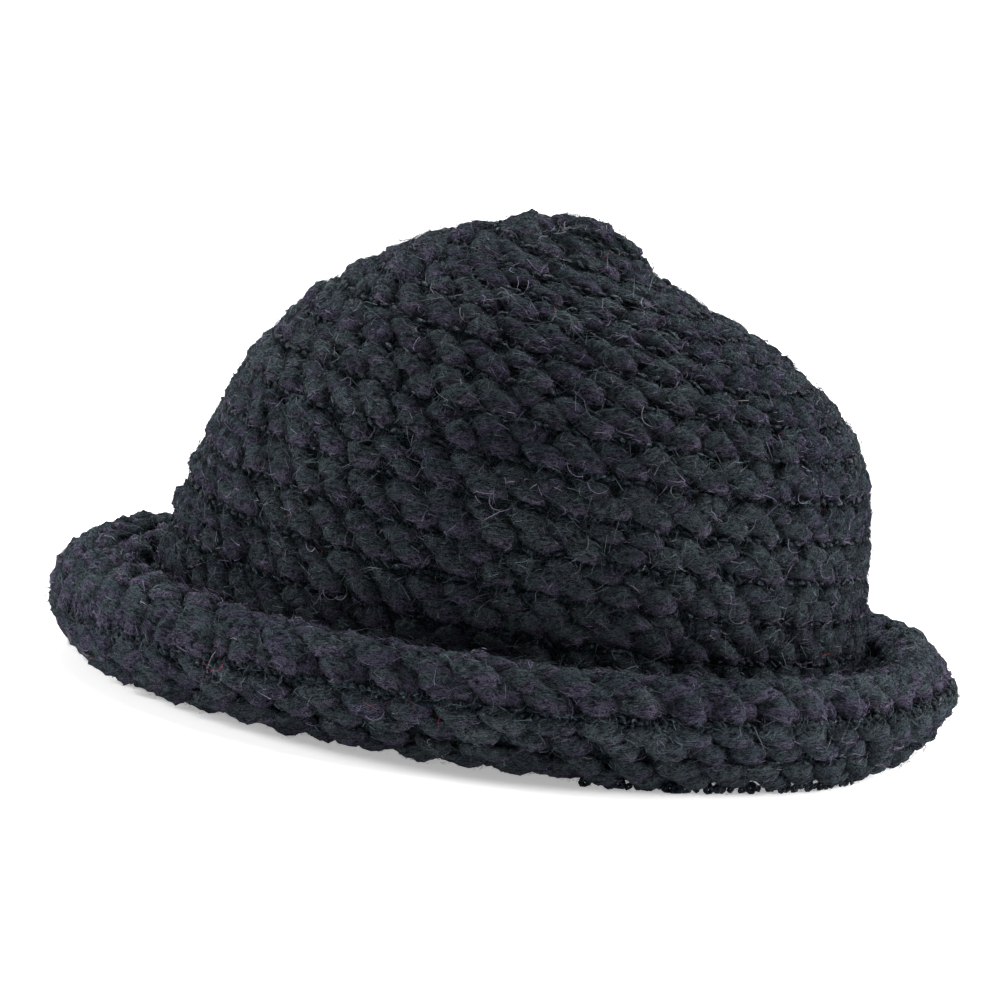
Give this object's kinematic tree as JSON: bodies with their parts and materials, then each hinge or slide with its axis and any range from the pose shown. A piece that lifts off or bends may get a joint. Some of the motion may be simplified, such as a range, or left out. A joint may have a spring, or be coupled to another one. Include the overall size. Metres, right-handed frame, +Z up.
{
  "type": "rolled-brim knit hat",
  "caption": "Chunky crocheted wool hat with a rounded crown, worked in one spiral, and a brim that rolls up and over all round.",
  "frame": {"origin": "on the surface that the hat stands on, under the middle of the head opening", "axes": "+Z up through the tip of the crown, +X to the side where the crown's shoulder is full, -Y to the front"},
  "size_m": [0.2444, 0.2308, 0.1346],
  "materials": {
    "crown_wool": "fuzzy heathered wool crochet",
    "brim_wool": "fuzzy heathered wool crochet"
  },
  "bodies": {
    "root": {"crown": "crown_wool", "rolled_brim": "brim_wool"}
  },
  "joints": []
}
